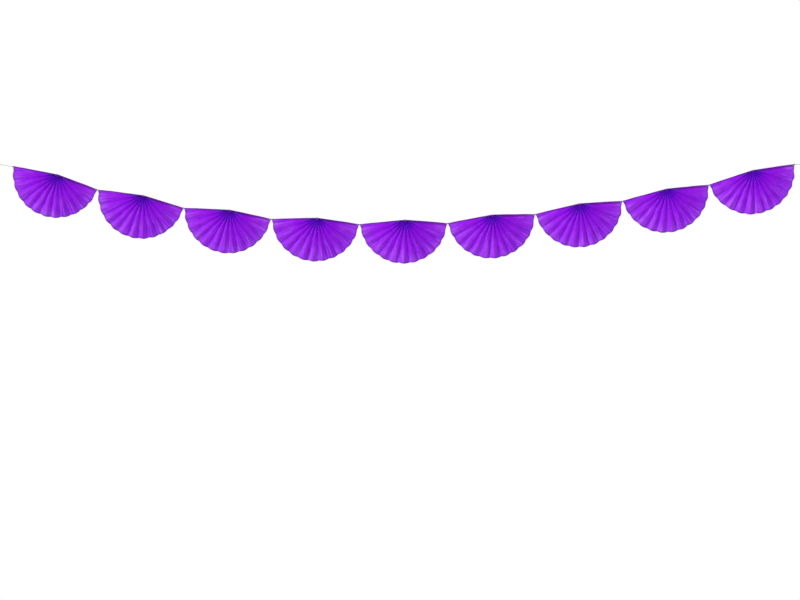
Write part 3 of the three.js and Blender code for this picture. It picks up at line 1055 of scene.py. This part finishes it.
# %% The finishes of thread and string
def yarn_material(name, dark, light, sheen):
    material, tree, output = empty_material(name)
    place = add_node(tree, "ShaderNodeTexCoord").outputs["Object"]
    colour = ramp(tree, noise_map(tree, place, 900.0, 3.0), [(0.3, dark), (0.7, light)])
    fibres = noise_map(tree, place, 6000.0, 2.0, 0.7)
    bump = add_node(tree, "ShaderNodeBump", Height=fibres, Strength=0.5, Distance=0.00008)
    surface = add_node(
        tree, "ShaderNodeBsdfPrincipled", Base_Color=colour, Roughness=0.8,
        Specular_IOR_Level=0.3, Sheen_Weight=sheen, Sheen_Roughness=0.5,
        Normal=bump.outputs[0])
    tree.links.new(surface.outputs[0], output.inputs[0])
    return material


violet_thread = yarn_material("violet_thread", (0.16, 0.008, 0.46), (0.26, 0.014, 0.66), 0.2)
# Painted light: the gather's thread is lighter, to offset the shade of the folds round it.
gather_thread = yarn_material("gather_thread", (0.26, 0.008, 0.85), (0.34, 0.014, 0.98), 0.2)
cotton_string = yarn_material("cotton_string", (0.24, 0.235, 0.21), (0.34, 0.33, 0.30), 0.1)
print("yarns", violet_thread.name, gather_thread.name, cotton_string.name)

# %% Give every piece its finish
string_pieces = [
    eyes[1, "left"], eyes[len(swings), "right"], knots["left_end_knot"], knots["right_end_knot"]]
for string, path, loop_knot, loop in (left_cord, right_cord):
    string_pieces += [string, loop_knot, loop]


def give_finish(pieces, finish):
    for piece in pieces:
        piece.data.materials.clear()
        piece.data.materials.append(finish)


give_finish(tissue_fans, tissue)
give_finish(windings, gather_thread)
give_finish([*eyes.values(), *knots.values()], violet_thread)
give_finish(string_pieces, cotton_string)
print("pieces of string", len(string_pieces))

# %% [markdown]
# ## What each piece stands for
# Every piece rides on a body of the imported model, so that a fan swings with its eyes and its
# winding while the knots and strings stay. It takes the place of the plain solid of that name.

# %% Fans, windings and eyes ride on their fan's body
for number in range(1, len(swings) + 1):
    body = f"pleated_fan_{number}"
    fan = tissue_fans[number - 1]
    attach(fan, body)
    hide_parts(f"fan_{number}")
    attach(windings[number - 1], body)
    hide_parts(f"gather_thread_{number}")
    for side in ("left", "right"):
        eye = eyes[number, side]
        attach(eye, body)
        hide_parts(f"{side}_eye_{number}")
print("on the fans' bodies", len(tissue_fans) + len(windings) + len(eyes), "pieces")

# %% Knots, strings and loops stay with the line
for node, piece in knots.items():
    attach(piece, "hanging_line")
    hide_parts(node)
for side, (string, path, loop_knot, loop) in (("left", left_cord), ("right", right_cord)):
    for piece, node in ((string, "string"), (loop_knot, "loop_knot"), (loop, "loop")):
        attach(piece, "hanging_line")
        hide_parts(f"{side}_{node}")

# %% [markdown]
# ## The studio
# The photograph has a pure white background and one soft light from the left, almost level,
# with about as much light again from all round and a trace from the right. White comes from the
# world as the camera sees it, so that it adds no light. A pale floor lies well below the
# garland, under the view.

# %% The world: white to look at, dimmer as a light
WORLD_LIGHT = 0.70

world = bpy.data.worlds.new("white_studio")
world.use_nodes = True
bpy.context.scene.world = world
sky = world.node_tree
sky.nodes.clear()
rays = add_node(sky, "ShaderNodeLightPath").outputs
seen = calculated(sky, "MAXIMUM", rays["Is Camera Ray"], rays["Is Glossy Ray"])
seen = calculated(sky, "MAXIMUM", seen, rays["Is Transmission Ray"])
light = add_node(sky, "ShaderNodeBackground", Color=(1, 1, 1, 1), Strength=WORLD_LIGHT)
white = add_node(sky, "ShaderNodeBackground", Color=(1, 1, 1, 1), Strength=1.0)
mix = add_node(
    sky, "ShaderNodeMixShader", n0=seen, n1=light.outputs[0], n2=white.outputs[0])
sky.links.new(mix.outputs[0], add_node(sky, "ShaderNodeOutputWorld").inputs[0])
print("world", world.name)

# %% The key light from the left, and a weak, wide one for the folds that face away from it
LIGHT_DISTANCE = 4


def soft_sun(name, towards, strength, spread):
    """A sun that shines from where towards points. spread is its width in degrees."""
    bpy.ops.object.light_add(
        type="SUN", location=VIEW_CENTRE + LIGHT_DISTANCE * towards,
        rotation=towards.to_track_quat("Z", "Y").to_euler())
    sun = bpy.context.object
    sun.name = name
    sun.data.energy = strength
    sun.data.angle = math.radians(spread)
    return sun


key = soft_sun("key_light", Vector((-0.80, -0.56, 0.17)), 1.8, 8)
fill = soft_sun("fill_light", Vector((0.84, -0.52, 0.16)), 0.10, 40)
print("suns", round(key.data.energy, 2), "and", round(fill.data.energy, 2))

# %% The floor
FLOOR_LEVEL = -2.2
FLOOR_SIZE = (14, 8, 1)

bpy.ops.mesh.primitive_plane_add(size=1, location=(1.6, 1.0, FLOOR_LEVEL))
floor = bpy.context.object
floor.name = "pale_floor"
floor.scale = FLOOR_SIZE
bpy.ops.object.transform_apply(location=True, rotation=True, scale=True)


def floor_material():
    """Pale and matt, and lit up a little for the camera, so that it is almost white."""
    material, tree, output = empty_material("pale_floor")
    rays = add_node(tree, "ShaderNodeLightPath").outputs
    place = add_node(tree, "ShaderNodeTexCoord").outputs["Object"]
    grain = noise_map(tree, place, 3.0, 6.0)
    colour = ramp(tree, grain, [(0.3, (0.78, 0.78, 0.78)), (0.7, (0.82, 0.82, 0.82))])
    matt = add_node(tree, "ShaderNodeBsdfPrincipled", Base_Color=colour, Roughness=0.9)
    glow = add_node(tree, "ShaderNodeEmission", Color=(1, 1, 1, 1), Strength=1.0)
    share = calculated(tree, "MULTIPLY", rays["Is Camera Ray"], 0.7)
    mix = add_node(
        tree, "ShaderNodeMixShader", n0=share, n1=matt.outputs[0], n2=glow.outputs[0])
    tree.links.new(mix.outputs[0], output.inputs[0])
    return material


floor.data.materials.append(floor_material())
bpy.context.scene.view_settings.view_transform = "Standard"
print("floor at", FLOOR_LEVEL)
